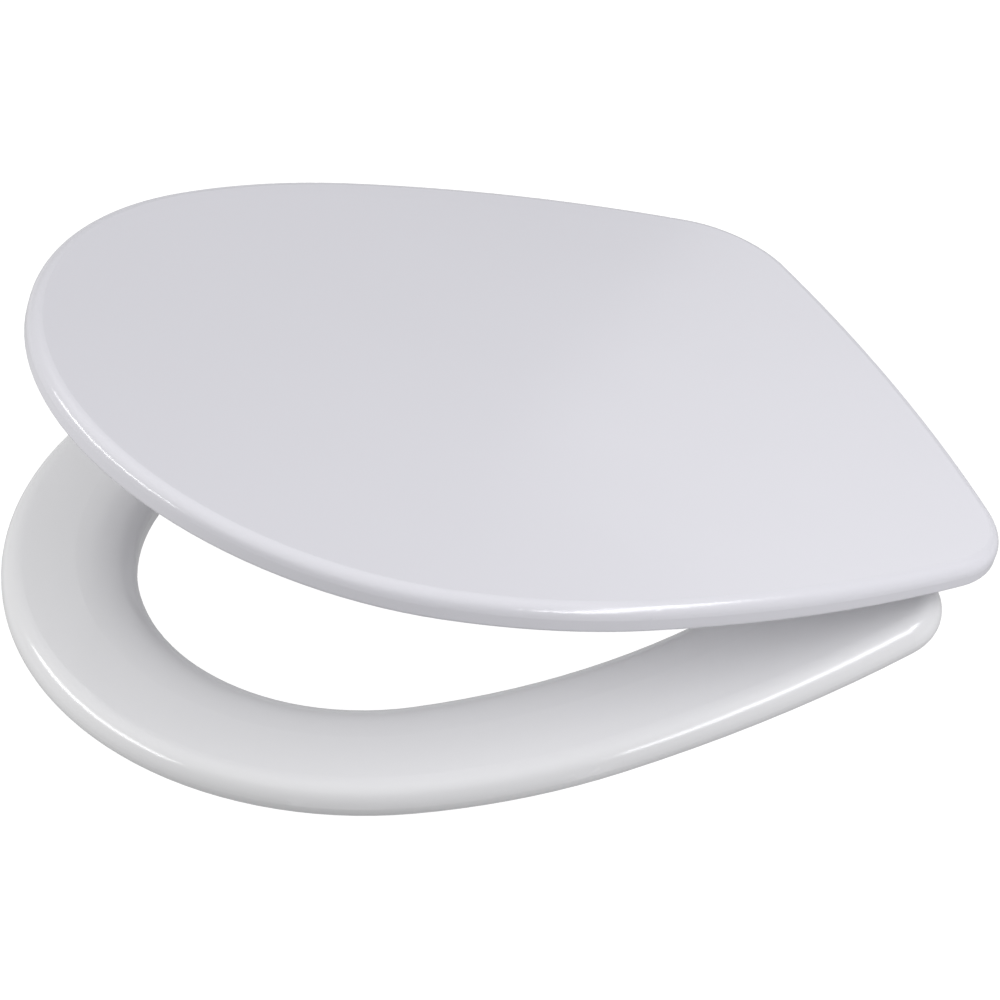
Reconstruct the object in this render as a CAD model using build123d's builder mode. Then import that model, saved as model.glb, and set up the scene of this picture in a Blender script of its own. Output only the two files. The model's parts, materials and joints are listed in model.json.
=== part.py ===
from build123d import *
import os
from math import cos, radians, sin

# Millimetres and degrees. The front is -Y, the rear +Y, up +Z, and left is -X.
# The origin lies on the bowl, midway between the two fixing studs.

# Plan of the seat: arcs that follow each other from the middle of the front to the rear corner
front_radius = 179.2
front_angle = 73.7
flank_radius = 324.0
flank_angle = 17.7
side_radius = 793.0

# Lid
lid_side_angle = 13.7
lid_corner_radius = 55.0
lid_rear_angle = 6.6
lid_height = 12.5
lid_panel = 5.0
lid_wall = 4.2
lid_round = 6.5
lid_lip_round = 1.8
lid_crown = 2.0
lid_open = 17.0
lid_gap = 3.2

# Ring and its opening
ring_margin = 1.5
ring_set = 0.7
ring_side_angle = 11.8
ring_corner_radius = 36.5
ring_rear_angle = 5.0
ring_height = 18.8
ring_round = 10.5
ring_foot_round = 8.0
ring_lift = 6.0
band_front = 65.5
opening_front_radius = 113.0
opening_front_angle = 78.0
opening_side_radius = 346.5
opening_side_angle = 28.2
opening_corner_radius = 55.5
opening_rear_angle = 7.3
opening_foot_round = 2.5
roll_width = 30.0
roll_drop = 12.2
roll_start_angle = 2.0
cut_spare = 0.5

# Hinge
stud_spacing = 155.0
knuckle_radius = 9.0
knuckle_wall = 2.0
knuckle_end = 3.0
knuckle_web = 8.0
web_bite = 1.0
inner_knuckle = 38.5
outer_knuckle = 11.5
lid_clearance = 1.0
lip_clearance = 7.0
side_gap = 0.5
arm_root = 34.0
arm_root_radius = 5.0

# Hinge brackets
bracket_width = 17.0
post_radius = 8.0
post_clearance = 1.0
bracket_arm_height = 8.0
bracket_arm_drop = 1.5
flange_radius = 14.0
flange_height = 3.5
notch_clearance = 1.0
notch_front = 2.0
notch_round = 4.0
relief_web = 1.5

# Hinge pins, bushes and dampers
pin_radius = 3.0
pin_flat = 0.8
pin_head_radius = 5.0
pin_head = 2.0
bush_wall = 1.45
running_clearance = 0.05
damper_wall = 1.2
damper_end = 2.0
damper_cap = 2.5
rotor_clearance = 0.1
rotor_end_gap = 0.4
rotor_core_radius = 4.6
rotor_vane = 2.4

# Buffers
lid_buffer_angle = 58.0
lid_buffer_inset = 24.0
lid_buffer_radius = 6.5
lid_buffer_boss = 7.5
lid_buffer_height = 5.5
buffer_rest_gap = 0.3
buffer_stem_radius = 2.5
buffer_stem = 4.0
buffer_round = 1.2
ring_buffer_angle = 38.0
ring_buffer_length = 30.0
ring_buffer_width = 14.0
ring_buffer_rear_inset = 41.5
ring_buffer_rear = 140.0
ring_buffer_stem_spacing = 16.0

# Fixings
gasket_height = 1.5
gasket_rim = 1.0
stud_radius = 4.0
stud_shank = 20.0
thread_radius = 3.9
thread_in_post = 14.0
thread_end = 2.5
stud_chamfer = 0.8
stud_hole_clearance = 0.4
cone_top_radius = 6.5
cone_base_radius = 10.0
cone_height = 5.0
cone_gap = 0.5
washer_radius = 10.0
washer_height = 1.2
nut_radius = 7.0
nut_height = 7.5
wing_length = 9.0
wing_height = 6.0
wing_thickness = 3.0

# Heights from the hinge axis, along the lid's own upright
lid_under = knuckle_radius + lid_clearance
lid_top = lid_under + lid_panel
lid_lip = lid_top - lid_height
lid_overhang = knuckle_radius + lip_clearance + lid_wall

# The hinge axis above the bowl and behind the studs
hinge_height = ring_lift + ring_height + lid_gap - lid_lip
hinge_back = post_radius + lid_overhang + post_clearance
ring_under = ring_lift - hinge_height
ring_top = ring_under + ring_height

buffer_seat = ring_top + buffer_rest_gap + lid_buffer_height

# Heights of the fixings below the bowl
cone_top = -stud_shank - cone_gap
washer_top = cone_top - cone_height
nut_top = washer_top - washer_height
stud_end = nut_top - nut_height - thread_end

# Distances along the hinge axis from the middle of the seat
stud_x = stud_spacing / 2
bracket_near = stud_x - bracket_width / 2
bracket_far = stud_x + bracket_width / 2
inner_far = bracket_near - side_gap
inner_near = inner_far - inner_knuckle
outer_near = bracket_far + side_gap
outer_far = outer_near + outer_knuckle
damper_near = inner_near + knuckle_end
rotor_near = damper_near + damper_end + rotor_end_gap
rotor_far = inner_far - damper_cap - rotor_end_gap

# Radii around the hinge axis
damper_radius = knuckle_radius - knuckle_wall
damper_bore = damper_radius - damper_wall
rotor_radius = damper_bore - rotor_clearance
pin_bore = pin_radius + running_clearance
bush_radius = pin_bore + bush_wall

left, right = -1, 1
hands = ((left, "left"), (right, "right"))
lid_knuckles = ((left, inner_near, inner_far), (right, outer_near, outer_far))
ring_knuckles = ((left, outer_near, outer_far), (right, inner_near, inner_far))

ring_plane = Plane(origin=(0, hinge_back, ring_lift))
lid_plane = Plane(
    origin=(0, hinge_back, hinge_height),
    x_dir=(1, 0, 0),
    z_dir=(0, sin(radians(lid_open)), cos(radians(lid_open))),
)
lid_up = Axis(lid_plane.origin, lid_plane.z_dir)

os.makedirs("parts", exist_ok=True)


def keep(builder, name):
    """Names a finished piece and writes it."""
    builder.part.label = name
    export_step(builder.part, f"parts/{name}.step")


def outline(front, arcs, corner_radius, rear_angle, grow=0.0):
    """Closed plan of tangent arcs from the front to the rear, the same on both sides, grown all round."""
    start = Vector(0, front - grow)
    heading = Vector(1, 0)
    corner_angle = 180 - rear_angle - sum(angle for radius, angle in arcs)
    with BuildSketch() as plan:
        with BuildLine():
            for radius, angle in (*arcs, (corner_radius, corner_angle)):
                arc = JernArc(start, heading, radius + grow, angle)
                start = arc @ 1
                heading = arc % 1
            JernArc(start, heading, start.X / sin(radians(rear_angle)), rear_angle)
            mirror(about=Plane.YZ)
        make_face()
    return plan.sketch


def lid_outline(front, grow=0.0):
    """Plan of the lid, grown or shrunk all round."""
    arcs = ((front_radius, front_angle), (flank_radius, flank_angle), (side_radius, lid_side_angle))
    return outline(front, arcs, lid_corner_radius, lid_rear_angle, grow)


def across(side, near, far):
    """Plane square to the hinge axis, midway between two distances from the middle, and half their span."""
    middle = Plane(
        origin=(side * (near + far) / 2, hinge_back, hinge_height), x_dir=(0, 1, 0), z_dir=(1, 0, 0)
    )
    return middle, (far - near) / 2


def on_front_arc(inset, angle):
    """Point at an angle round the front of the ring, a distance in from its edge."""
    reach = front_radius + ring_margin - inset
    centre_y = ring_front + front_radius + ring_margin
    return reach * sin(radians(angle)), centre_y - reach * cos(radians(angle))


# The lid's rear edge stays behind the hinge axis, so its length sets where the fronts lie
lid_length = lid_outline(0).bounding_box().size.Y
lid_front = lid_overhang - lid_length
lid_middle = lid_front + lid_length / 2
ring_front = lid_front - ring_margin - ring_set
ring_arcs = (
    (front_radius + ring_margin, front_angle),
    (flank_radius + ring_margin, flank_angle),
    (side_radius + ring_margin, ring_side_angle),
)
ring_plan = outline(ring_front, ring_arcs, ring_corner_radius, ring_rear_angle)
ring_half = ring_plan.bounding_box().max.X
opening_front = ring_front + band_front
crown_radius = (lid_length**2 / 4 + lid_crown**2) / (2 * lid_crown)
crown_centre = lid_plane.from_local_coords(Vector(0, lid_middle, lid_top + lid_crown - crown_radius))

lid_buffer_spots = [
    on_front_arc(lid_buffer_inset, side * lid_buffer_angle) for side, hand in hands
]

# Hollow under the lid
with BuildPart() as lid_hollow:
    with BuildSketch(lid_plane.offset(lid_lip)):
        add(lid_outline(lid_front, -lid_wall))
    extrude(amount=lid_height + lid_crown)
    with Locations(crown_centre):
        Sphere(crown_radius - lid_panel, mode=Mode.INTERSECT)
    fillet(lid_hollow.faces().sort_by(lid_up)[-1].edges(), lid_round - lid_wall)

# Lid: crowned panel with a turned-down rim, hinge knuckles and buffer bosses
with BuildPart() as lid:
    with BuildSketch(lid_plane.offset(lid_lip)):
        add(lid_outline(lid_front))
    extrude(amount=lid_height + lid_crown + cut_spare)
    with Locations(crown_centre):
        Sphere(crown_radius, mode=Mode.INTERSECT)
    fillet(lid.faces().sort_by(lid_up)[-1].edges(), lid_round)
    fillet(lid.faces().sort_by(lid_up)[0].edges(), lid_lip_round)
    add(lid_hollow.part, mode=Mode.SUBTRACT)
    for side, near, far in lid_knuckles:
        plane, half = across(side, near, far)
        with BuildSketch(lid_plane):
            add(lid_outline(lid_front, web_bite - lid_wall))
            with Locations((side * (near + far) / 2, (lid_overhang - knuckle_web) / 2)):
                Rectangle(far - near, lid_overhang + knuckle_web, mode=Mode.INTERSECT)
        extrude(amount=lid_under + web_bite)
        with BuildSketch(plane):
            Circle(knuckle_radius)
        extrude(amount=half, both=True)
    relief_depth = lid_wall + lip_clearance - lid_clearance
    for side, hand in hands:
        with BuildSketch(lid_plane.offset(lid_lip)):
            with Locations((side * stud_x, lid_overhang)):
                Rectangle(bracket_width + 2 * notch_clearance, 2 * relief_depth)
        extrude(amount=lid_under - relief_web - lid_lip, mode=Mode.SUBTRACT)
    with BuildSketch(lid_plane.offset(buffer_seat)):
        with Locations(*lid_buffer_spots):
            Circle(lid_buffer_boss)
    extrude(amount=lid_top - lid_panel / 2 - buffer_seat)
    with BuildSketch(lid_plane.offset(buffer_seat)):
        with Locations(*lid_buffer_spots):
            Circle(buffer_stem_radius)
    extrude(amount=buffer_stem, mode=Mode.SUBTRACT)
    bore_plane, bore_half = across(left, damper_near, inner_far)
    with BuildSketch(bore_plane):
        Circle(damper_radius)
    extrude(amount=bore_half, both=True, mode=Mode.SUBTRACT)
    bush_plane, bush_half = across(right, outer_near, outer_far)
    with BuildSketch(bush_plane):
        Circle(bush_radius)
    extrude(amount=bush_half, both=True, mode=Mode.SUBTRACT)
keep(lid, "lid")

# Opening through the ring, and the plane across its front edge
with BuildSketch(ring_plane) as opening:
    opening_arcs = ((opening_front_radius, opening_front_angle), (opening_side_radius, opening_side_angle))
    add(outline(opening_front, opening_arcs, opening_corner_radius, opening_rear_angle))
roll_plane = Plane(
    origin=(0, hinge_back + opening_front, ring_lift + ring_height), x_dir=(0, -1, 0), z_dir=(-1, 0, 0)
)

# Underside spots for the ring's buffers: where they stand and how they are turned
ring_buffer_spots = {}
for side, hand in hands:
    ring_buffer_spots[f"ring_buffer_front_{hand}"] = Location(
        (*on_front_arc(band_front / 2, side * ring_buffer_angle), 0), side * ring_buffer_angle
    )
    ring_buffer_spots[f"ring_buffer_rear_{hand}"] = Location(
        (side * (ring_half - ring_buffer_rear_inset), -ring_buffer_rear, 0), 90
    )

# Ring: solid band whose top rolls down into the opening, with hinge arms and post notches
with BuildPart() as ring:
    with BuildSketch(ring_plane):
        add(ring_plan)
    extrude(amount=ring_height)
    fillet(ring.faces().sort_by(Axis.Z)[-1].edges(), ring_round)
    fillet(ring.faces().sort_by(Axis.Z)[0].edges(), ring_foot_round)
    extrude(opening.sketch, amount=ring_height, mode=Mode.SUBTRACT)
    fillet(ring.faces().sort_by(Axis.Z)[0].inner_wires()[0].edges(), opening_foot_round)
    with BuildSketch(roll_plane):
        with BuildLine():
            curve = EllipticalCenterArc(
                (roll_width, -roll_drop),
                roll_width,
                roll_drop,
                start_angle=90 + roll_start_angle,
                arc_size=90 - roll_start_angle,
            )
            Polyline(
                curve @ 1,
                (-cut_spare, -roll_drop),
                (-cut_spare, cut_spare),
                ((curve @ 0).X, cut_spare),
                curve @ 0,
            )
        make_face()
    sweep(path=opening.sketch.wire(), mode=Mode.SUBTRACT)
    notch_length = hinge_back + post_radius + notch_front
    for side, hand in hands:
        with BuildSketch(ring_plane):
            with Locations((side * stud_x, -notch_length / 2)):
                RectangleRounded(bracket_width + 2 * notch_clearance, notch_length, notch_round)
        extrude(amount=ring_height, mode=Mode.SUBTRACT)
    for side, near, far in ring_knuckles:
        plane, half = across(side, near, far)
        with BuildSketch(plane):
            Circle(knuckle_radius)
            with Locations((-arm_root, ring_top - arm_root_radius)):
                Circle(arm_root_radius)
            make_hull()
        extrude(amount=half, both=True)
    bore_plane, bore_half = across(right, damper_near, inner_far)
    with BuildSketch(bore_plane):
        Circle(damper_radius)
    extrude(amount=bore_half, both=True, mode=Mode.SUBTRACT)
    bush_plane, bush_half = across(left, outer_near, outer_far)
    with BuildSketch(bush_plane):
        Circle(bush_radius)
    extrude(amount=bush_half, both=True, mode=Mode.SUBTRACT)
    with BuildSketch(ring_plane):
        with Locations(*ring_buffer_spots.values()):
            with GridLocations(ring_buffer_stem_spacing, 0, 2, 1):
                Circle(buffer_stem_radius)
    extrude(amount=buffer_stem, mode=Mode.SUBTRACT)
keep(ring, "seat_ring")

# Buffers under the lid: a soft head with a stem pressed into the boss
for (side, hand), spot in zip(hands, lid_buffer_spots):
    with BuildPart() as lid_buffer:
        with BuildSketch(lid_plane.offset(buffer_seat - lid_buffer_height)):
            with Locations(spot):
                Circle(lid_buffer_radius)
        extrude(amount=lid_buffer_height)
        fillet(lid_buffer.faces().sort_by(lid_up)[0].edges(), buffer_round)
        with BuildSketch(lid_plane.offset(buffer_seat)):
            with Locations(spot):
                Circle(buffer_stem_radius)
        extrude(amount=buffer_stem)
    keep(lid_buffer, f"lid_buffer_{hand}")

# Buffers under the ring: oblong pads with two stems each
for name, spot in ring_buffer_spots.items():
    with BuildPart() as ring_buffer:
        with BuildSketch(ring_plane.offset(-ring_lift)):
            with Locations(spot):
                SlotOverall(ring_buffer_length, ring_buffer_width)
        extrude(amount=ring_lift)
        fillet(ring_buffer.faces().sort_by(Axis.Z)[0].edges(), buffer_round)
        with BuildSketch(ring_plane):
            with Locations(spot):
                with GridLocations(ring_buffer_stem_spacing, 0, 2, 1):
                    Circle(buffer_stem_radius)
        extrude(amount=buffer_stem)
    keep(ring_buffer, name)

# Bushes in the outer knuckles
for side, name in ((right, "lid_bush"), (left, "ring_bush")):
    plane, half = across(side, outer_near, outer_far)
    with BuildPart() as bush:
        with BuildSketch(plane):
            Circle(bush_radius)
            Circle(pin_bore, mode=Mode.SUBTRACT)
        extrude(amount=half, both=True)
    keep(bush, name)

# Slow-close dampers in the inner knuckles: a cup, a vaned rotor on the pin's flat, and a cap
for side, owner in ((left, "lid"), (right, "ring")):
    cup_plane, cup_half = across(side, damper_near, inner_far)
    bore_plane, bore_half = across(side, damper_near + damper_end, inner_far)
    with BuildPart() as damper_body:
        with BuildSketch(cup_plane):
            Circle(damper_radius)
        extrude(amount=cup_half, both=True)
        with BuildSketch(bore_plane):
            Circle(damper_bore)
        extrude(amount=bore_half, both=True, mode=Mode.SUBTRACT)
    keep(damper_body, f"{owner}_damper_body")

    cap_plane, cap_half = across(side, inner_far - damper_cap, inner_far)
    with BuildPart() as damper_cap_ring:
        with BuildSketch(cap_plane):
            Circle(damper_bore)
            Circle(pin_radius + rotor_clearance, mode=Mode.SUBTRACT)
        extrude(amount=cap_half, both=True)
    keep(damper_cap_ring, f"{owner}_damper_cap")

    rotor_plane, rotor_half = across(side, rotor_near, rotor_far)
    with BuildPart() as damper_rotor:
        with BuildSketch(rotor_plane):
            Circle(rotor_radius)
            Rectangle(2 * rotor_radius, rotor_vane, mode=Mode.INTERSECT)
            Circle(rotor_core_radius)
            with BuildSketch(mode=Mode.SUBTRACT):
                Circle(pin_radius)
                with Locations((0, 2 * pin_radius - pin_flat)):
                    Rectangle(2 * pin_radius, 2 * pin_radius, mode=Mode.SUBTRACT)
        extrude(amount=rotor_half, both=True)
    keep(damper_rotor, f"{owner}_damper_rotor")

# Hinge pins, pressed into the brackets, with a flat for the rotor and a head outside
for side, hand in hands:
    pin_plane, pin_half = across(side, rotor_near, outer_far + side_gap)
    flat_plane, flat_half = across(side, rotor_near, rotor_far)
    head_plane, head_half = across(side, outer_far + side_gap, outer_far + side_gap + pin_head)
    with BuildPart() as hinge_pin:
        with BuildSketch(pin_plane):
            Circle(pin_radius)
        extrude(amount=pin_half, both=True)
        with BuildSketch(head_plane):
            Circle(pin_head_radius)
        extrude(amount=head_half, both=True)
        with BuildSketch(flat_plane):
            with Locations((0, 2 * pin_radius - pin_flat)):
                Rectangle(2 * pin_radius, 2 * pin_radius)
        extrude(amount=flat_half, both=True, mode=Mode.SUBTRACT)
    keep(hinge_pin, f"hinge_pin_{hand}")

# Hinge brackets: a flange and post on the bowl, and an arm back to the hinge axis
for side, hand in hands:
    plane, half = across(side, bracket_near, bracket_far)
    arm_top = bracket_arm_height - bracket_arm_drop
    post_top = hinge_height + arm_top
    with BuildPart() as bracket:
        with BuildSketch(plane):
            Circle(knuckle_radius)
            with Locations((-hinge_back / 2, arm_top - bracket_arm_height / 2)):
                Rectangle(hinge_back, bracket_arm_height)
        extrude(amount=half, both=True)
        with BuildSketch(Plane.XY.offset(gasket_height)):
            with Locations((side * stud_x, 0)):
                Circle(post_radius)
        extrude(amount=post_top - gasket_height)
        with BuildSketch(Plane.XY.offset(gasket_height)):
            with Locations((side * stud_x, 0)):
                Circle(flange_radius)
        extrude(amount=flange_height)
        with BuildSketch(plane):
            Circle(pin_radius)
        extrude(amount=half, both=True, mode=Mode.SUBTRACT)
        with BuildSketch(Plane.XY.offset(gasket_height)):
            with Locations((side * stud_x, 0)):
                Circle(thread_radius)
        extrude(amount=thread_in_post, mode=Mode.SUBTRACT)
    keep(bracket, f"hinge_bracket_{hand}")

# Fixings through the bowl, from the top down
for side, hand in hands:
    with BuildPart() as gasket:
        with BuildSketch():
            with Locations((side * stud_x, 0)):
                Circle(flange_radius + gasket_rim)
                Circle(stud_radius + stud_hole_clearance, mode=Mode.SUBTRACT)
        extrude(amount=gasket_height)
    keep(gasket, f"base_gasket_{hand}")

    with BuildPart() as stud:
        with BuildSketch(Plane.XY.offset(stud_end)):
            with Locations((side * stud_x, 0)):
                Circle(thread_radius)
        extrude(amount=gasket_height + thread_in_post - stud_end)
        chamfer(stud.faces().sort_by(Axis.Z)[0].edges(), stud_chamfer)
        with BuildSketch(Plane.XY.offset(-stud_shank)):
            with Locations((side * stud_x, 0)):
                Circle(stud_radius)
        extrude(amount=stud_shank)
    keep(stud, f"fixing_stud_{hand}")

    with BuildPart() as cone:
        with BuildSketch(Plane.XZ):
            with BuildLine():
                Polyline(
                    (side * stud_x + thread_radius, cone_top),
                    (side * stud_x + cone_top_radius, cone_top),
                    (side * stud_x + cone_base_radius, washer_top),
                    (side * stud_x + thread_radius, washer_top),
                    close=True,
                )
            make_face()
        revolve(axis=Axis((side * stud_x, 0, 0), (0, 0, 1)))
    keep(cone, f"centring_cone_{hand}")

    with BuildPart() as washer:
        with BuildSketch(Plane.XY.offset(nut_top)):
            with Locations((side * stud_x, 0)):
                Circle(washer_radius)
                Circle(thread_radius, mode=Mode.SUBTRACT)
        extrude(amount=washer_height)
    keep(washer, f"flat_washer_{hand}")

    with BuildPart() as wing_nut:
        with BuildSketch(Plane.XY.offset(nut_top)):
            with Locations((side * stud_x, 0)):
                Circle(nut_radius)
        extrude(amount=-nut_height)
        with BuildSketch(Plane.XZ):
            with Locations((side * stud_x, nut_top - nut_height / 2)):
                SlotOverall(2 * (nut_radius + wing_length), wing_height)
        extrude(amount=wing_thickness / 2, both=True)
        with BuildSketch(Plane.XY.offset(nut_top)):
            with Locations((side * stud_x, 0)):
                Circle(thread_radius)
        extrude(amount=-nut_height, mode=Mode.SUBTRACT)
    keep(wing_nut, f"wing_nut_{hand}")
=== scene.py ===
import json
import math

import bpy
from mathutils import Matrix, Quaternion, Vector


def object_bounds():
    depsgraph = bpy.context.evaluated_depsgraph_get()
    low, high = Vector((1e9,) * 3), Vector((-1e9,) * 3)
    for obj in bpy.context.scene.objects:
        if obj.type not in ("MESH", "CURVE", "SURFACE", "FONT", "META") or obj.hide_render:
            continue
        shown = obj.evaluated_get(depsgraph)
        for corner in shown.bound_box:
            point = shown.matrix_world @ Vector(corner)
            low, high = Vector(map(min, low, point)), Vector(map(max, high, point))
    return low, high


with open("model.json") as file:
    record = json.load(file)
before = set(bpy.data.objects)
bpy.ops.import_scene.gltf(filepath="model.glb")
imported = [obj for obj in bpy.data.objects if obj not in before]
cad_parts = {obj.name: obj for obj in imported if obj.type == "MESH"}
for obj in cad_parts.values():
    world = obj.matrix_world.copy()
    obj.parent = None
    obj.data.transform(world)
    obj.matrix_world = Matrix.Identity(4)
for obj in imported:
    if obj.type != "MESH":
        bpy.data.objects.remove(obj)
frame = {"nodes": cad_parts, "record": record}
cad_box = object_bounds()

nodes = frame["nodes"]

# Camera, worked out from the outlines in the photograph: metres, degrees and pixels
FRAME_PIXELS = 1000
FOCAL_PIXELS = 4227.0
AZIMUTH = 66.53
ELEVATION = 38.86
ROLL = -0.084
DISTANCE = 2.14933
SENSOR_MM = 36.0

# Point that the camera is set by, and how far right of and above the picture's middle it shows
AIM = Vector((0, 0.04883, 0.01225))
SEEN_RIGHT = 0.19737
SEEN_UP = 0.04202

# Studio: brightness of the ceiling, the walls and what lies below, and how much red and green they keep
CEILING = 0.93
WALLS = 0.14
BELOW = 0.48
STUDIO_WARMTH = 0.985
STUDIO_CENTRE = Vector((0, -0.19, 0.06))

# Heights on a ball round the studio, from -1 to 1, where its ground, walls and ceiling start and end
STUDIO_BANDS = ((-0.12, BELOW), (0.04, WALLS), (0.5, WALLS), (0.75, CEILING))

# Floor: side and drop below the lowest piece in metres, brightness of its own, and its grey
FLOOR_SIDE = 24.0
FLOOR_DROP = 0.001
FLOOR_GLOW = 0.97
FLOOR_GREY = 0.12
FLOOR_ROUGHNESS = 0.9

# Noise stays within about these values, so tone and gloss run from end to end between them
NOISE_LOW, NOISE_HIGH = 0.3, 0.7

# Light tints, and the whites of the two mouldings: the lid's white is painted darker than the ring's as
# painted shade, and is cooler
NEUTRAL, COOL = (1, 1, 1), (0.97, 0.97, 1)
RING_WHITE = (0.875, 0.875, 0.878)
LID_SHADED_WHITE = (0.795, 0.790, 0.828)

# Softboxes: turn right from the camera, height and roll in degrees, distance, width and height in metres,
# brightness and tint
SOFTBOXES = {
    "left_softbox": (-84, 26, 0, 2.0, 1.90, 0.30, 9.5, NEUTRAL),
    "right_softbox": (67, 30, 24, 1.5, 1.35, 0.25, 9.8, COOL),
    "rear_softbox": (150, 12, 0, 2.0, 0.80, 0.80, 0.5, COOL),
}


def towards(turn, height):
    """Direction from the object, turned right from the camera and raised above the floor, in degrees."""
    a, e = math.radians(AZIMUTH + turn), math.radians(height)
    return Vector((math.sin(a) * math.cos(e), -math.cos(a) * math.cos(e), math.sin(e)))


def make_camera():
    """Camera at the photograph's place, with its long lens."""
    a, e, r = (math.radians(x) for x in (AZIMUTH, ELEVATION, ROLL))
    right = Vector((math.cos(a), math.sin(a), 0))
    up = Vector((-math.sin(a) * math.sin(e), math.cos(a) * math.sin(e), math.cos(e)))
    back = towards(0, ELEVATION)
    tilted_right = math.cos(r) * right + math.sin(r) * up
    tilted_up = math.cos(r) * up - math.sin(r) * right
    data = bpy.data.cameras.new("camera")
    data.sensor_width = SENSOR_MM
    data.lens = FOCAL_PIXELS * SENSOR_MM / FRAME_PIXELS
    camera = bpy.data.objects.new("camera", data)
    turn = Matrix((tilted_right, tilted_up, back)).transposed().to_4x4()
    place = AIM - SEEN_RIGHT * tilted_right - SEEN_UP * tilted_up + DISTANCE * back
    camera.matrix_world = Matrix.Translation(place) @ turn
    bpy.context.scene.collection.objects.link(camera)
    bpy.context.scene.camera = camera


def make_softbox(name, turn, height, roll, distance, wide, high, brightness, tint):
    """Rectangular softbox that faces the object and isn't seen itself."""
    data = bpy.data.lights.new(name, "AREA")
    data.shape = "RECTANGLE"
    data.size, data.size_y = wide, high
    data.energy = brightness * math.pi * wide * high
    data.color = tint
    light = bpy.data.objects.new(name, data)
    aim = -towards(turn, height)
    tilt = Quaternion((0, 0, 1), math.radians(roll))
    light.location = STUDIO_CENTRE - distance * aim
    light.rotation_euler = (aim.to_track_quat("-Z", "Y") @ tilt).to_euler()
    light.visible_camera = False
    bpy.context.scene.collection.objects.link(light)


def make_surroundings():
    """Studio all round: a bright ceiling, dim walls and a paler ground."""
    world = bpy.data.worlds.new("studio")
    bpy.context.scene.world = world
    world.use_nodes = True
    tree = world.node_tree
    place = tree.nodes.new("ShaderNodeTexCoord")
    split = tree.nodes.new("ShaderNodeSeparateXYZ")
    fit = tree.nodes.new("ShaderNodeMapRange")
    fit.inputs["From Min"].default_value = -1
    ramp = tree.nodes.new("ShaderNodeValToRGB")
    bands = ramp.color_ramp
    bands.interpolation = "EASE"
    for rise, tone in STUDIO_BANDS:
        element = bands.elements.new((rise + 1) / 2)
        element.color = (STUDIO_WARMTH * tone, STUDIO_WARMTH * tone, tone, 1)
    bands.elements.remove(bands.elements[0])
    bands.elements.remove(bands.elements[-1])
    tree.links.new(place.outputs["Generated"], split.inputs[0])
    tree.links.new(split.outputs["Z"], fit.inputs["Value"])
    tree.links.new(fit.outputs["Result"], ramp.inputs["Fac"])
    tree.links.new(ramp.outputs["Color"], tree.nodes["Background"].inputs["Color"])


def make_floor():
    """Plain white floor just below the lowest piece, which glows but doesn't light or shade the object."""
    z = cad_box[0].z - FLOOR_DROP
    s = FLOOR_SIDE / 2
    mesh = bpy.data.meshes.new("floor")
    mesh.from_pydata([(-s, -s, z), (s, -s, z), (s, s, z), (-s, s, z)], [], [(0, 1, 2, 3)])
    made, tree, shader = new_material("floor_white")
    shader.inputs["Base Color"].default_value = (FLOOR_GREY, FLOOR_GREY, FLOOR_GREY, 1)
    shader.inputs["Roughness"].default_value = FLOOR_ROUGHNESS
    shader.inputs["Specular IOR Level"].default_value = 0
    shader.inputs["Emission Color"].default_value = (1, 1, 1, 1)
    shader.inputs["Emission Strength"].default_value = FLOOR_GLOW
    mesh.materials.append(made)
    floor = bpy.data.objects.new("floor", mesh)
    floor.visible_diffuse = False
    floor.visible_glossy = False
    floor.visible_shadow = False
    bpy.context.scene.collection.objects.link(floor)


def new_material(name):
    """New node material, with its tree and its shader."""
    made = bpy.data.materials.new(name)
    made.use_nodes = True
    tree = made.node_tree
    return made, tree, tree.nodes["Principled BSDF"]


def noise(tree, scale, detail=2.0):
    """Noise over the piece's own metres, with as many waves per metre as its scale says."""
    place = tree.nodes.new("ShaderNodeTexCoord")
    waves = tree.nodes.new("ShaderNodeTexNoise")
    waves.inputs["Scale"].default_value = scale
    waves.inputs["Detail"].default_value = detail
    tree.links.new(place.outputs["Object"], waves.inputs["Vector"])
    return waves.outputs["Fac"]


def vary_colour(tree, shader, source, dark, light):
    """Base colour that drifts between two tones."""
    ramp = tree.nodes.new("ShaderNodeValToRGB")
    ends = zip(ramp.color_ramp.elements, (NOISE_LOW, NOISE_HIGH), (dark, light))
    for element, position, colour in ends:
        element.position = position
        element.color = (*colour, 1)
    tree.links.new(source, ramp.inputs["Fac"])
    tree.links.new(ramp.outputs["Color"], shader.inputs["Base Color"])


def vary_roughness(tree, shader, source, low, high):
    """Roughness that drifts between two values."""
    fit = tree.nodes.new("ShaderNodeMapRange")
    fit.inputs["From Min"].default_value = NOISE_LOW
    fit.inputs["From Max"].default_value = NOISE_HIGH
    fit.inputs["To Min"].default_value = low
    fit.inputs["To Max"].default_value = high
    tree.links.new(source, fit.inputs["Value"])
    tree.links.new(fit.outputs["Result"], shader.inputs["Roughness"])


def roughen(tree, shader, source, depth, strength):
    """Bump of a depth in metres."""
    bump = tree.nodes.new("ShaderNodeBump")
    bump.inputs["Distance"].default_value = depth
    bump.inputs["Strength"].default_value = strength
    tree.links.new(source, bump.inputs["Height"])
    tree.links.new(bump.outputs["Normal"], shader.inputs["Normal"])


def darker(tone, share):
    """Tone with a share of its light."""
    return [share * value for value in tone]


def thermoset(name, tone):
    """White glossy moulded thermoset: faint flow in its tone, its gloss and its skin."""
    made, tree, shader = new_material(name)
    vary_colour(tree, shader, noise(tree, scale=5), dark=darker(tone, 0.985), light=tone)
    vary_roughness(tree, shader, noise(tree, scale=30, detail=3), low=0.15, high=0.19)
    roughen(tree, shader, noise(tree, scale=220, detail=1), depth=0.00004, strength=0.15)
    return made


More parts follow.
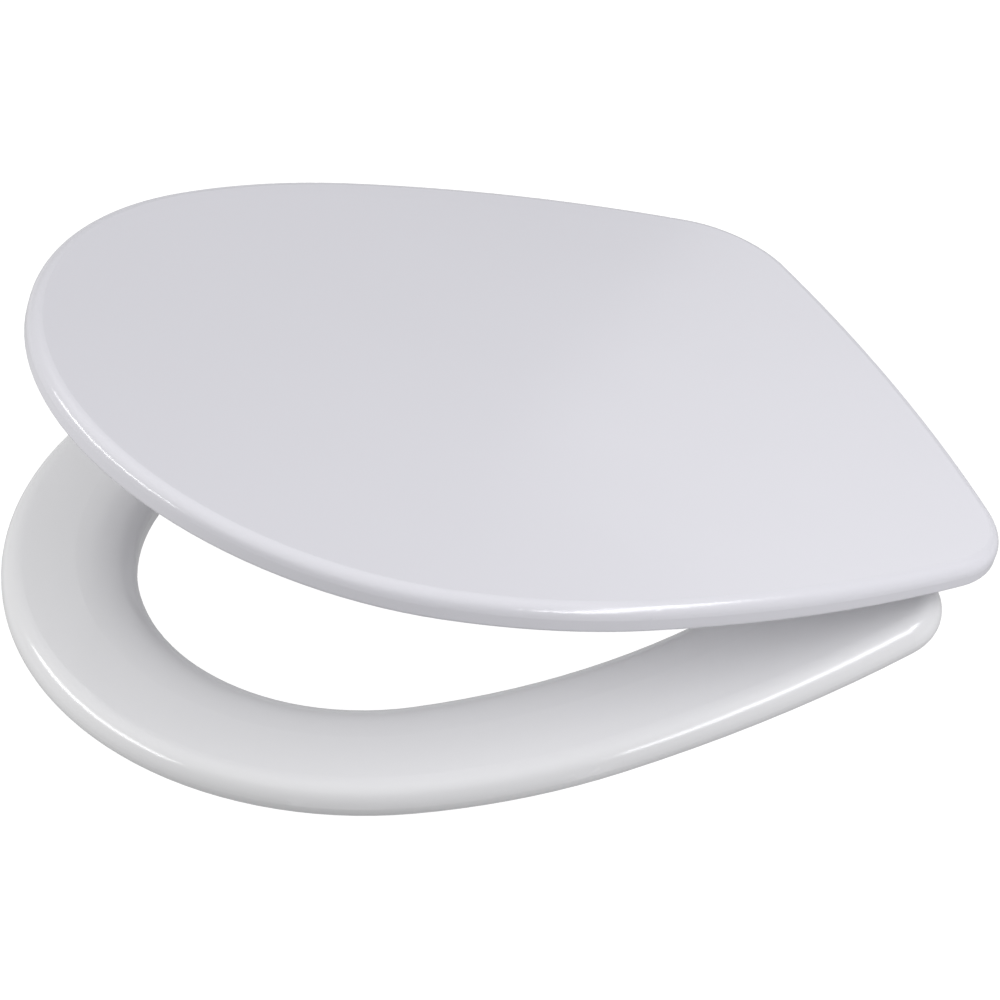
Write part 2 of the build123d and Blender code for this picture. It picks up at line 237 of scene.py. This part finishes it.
def rubber():
    """Grey moulded rubber with a fine matt grain."""
    made, tree, shader = new_material("grey_rubber")
    grain = noise(tree, scale=700, detail=3)
    vary_colour(tree, shader, grain, dark=(0.36, 0.36, 0.37), light=(0.43, 0.43, 0.44))
    vary_roughness(tree, shader, noise(tree, scale=300), low=0.65, high=0.8)
    roughen(tree, shader, noise(tree, scale=1800), depth=0.0001, strength=0.4)
    shader.inputs["Specular IOR Level"].default_value = 0.3
    return made


def chrome():
    """Polished chrome plating over a casting: faint smears in its gloss."""
    made, tree, shader = new_material("chromed_bracket")
    vary_colour(tree, shader, noise(tree, scale=60), dark=(0.70, 0.71, 0.73), light=(0.76, 0.77, 0.79))
    vary_roughness(tree, shader, noise(tree, scale=150, detail=4), low=0.05, high=0.14)
    roughen(tree, shader, noise(tree, scale=400, detail=1), depth=0.00003, strength=0.2)
    shader.inputs["Metallic"].default_value = 1
    return made


def steel():
    """Zinc-plated steel with a fine mottle in its tone and gloss."""
    made, tree, shader = new_material("steel")
    mottle = noise(tree, scale=250, detail=4)
    vary_colour(tree, shader, mottle, dark=(0.50, 0.505, 0.52), light=(0.60, 0.60, 0.61))
    vary_roughness(tree, shader, noise(tree, scale=500, detail=3), low=0.24, high=0.4)
    roughen(tree, shader, noise(tree, scale=900), depth=0.00004, strength=0.3)
    shader.inputs["Metallic"].default_value = 1
    return made


def satin_plastic(name, tone):
    """Satin moulded plastic with a spark-eroded grain."""
    made, tree, shader = new_material(name)
    vary_colour(tree, shader, noise(tree, scale=80, detail=3), dark=darker(tone, 0.95), light=tone)
    vary_roughness(tree, shader, noise(tree, scale=200), low=0.4, high=0.52)
    roughen(tree, shader, noise(tree, scale=1500), depth=0.00008, strength=0.3)
    return made


# Finishes by the record's slots
finishes = {
    "white_thermoset": thermoset("ring_thermoset", RING_WHITE),
    "grey_rubber": rubber(),
    "chromed_bracket": chrome(),
    "steel": steel(),
    "nut_plastic": satin_plastic("nut_plastic", (0.62, 0.62, 0.63)),
    "hinge_plastic": satin_plastic("hinge_plastic", (0.58, 0.58, 0.60)),
}
for part in frame["record"]["subparts"]:
    mesh = nodes[part["node"]].data
    mesh.materials.clear()
    mesh.materials.append(finishes[part["material_slot"]])
# The lid gets its own copy of the thermoset, whose white is painted darker and cooler than the ring's:
# painted shade
nodes["lid"].data.materials[0] = thermoset("lid_thermoset_painted_shade", LID_SHADED_WHITE)

# Studio and camera
make_camera()
make_surroundings()
make_floor()
for name, setting in SOFTBOXES.items():
    make_softbox(name, *setting)
bpy.context.scene.view_settings.view_transform = "Standard"
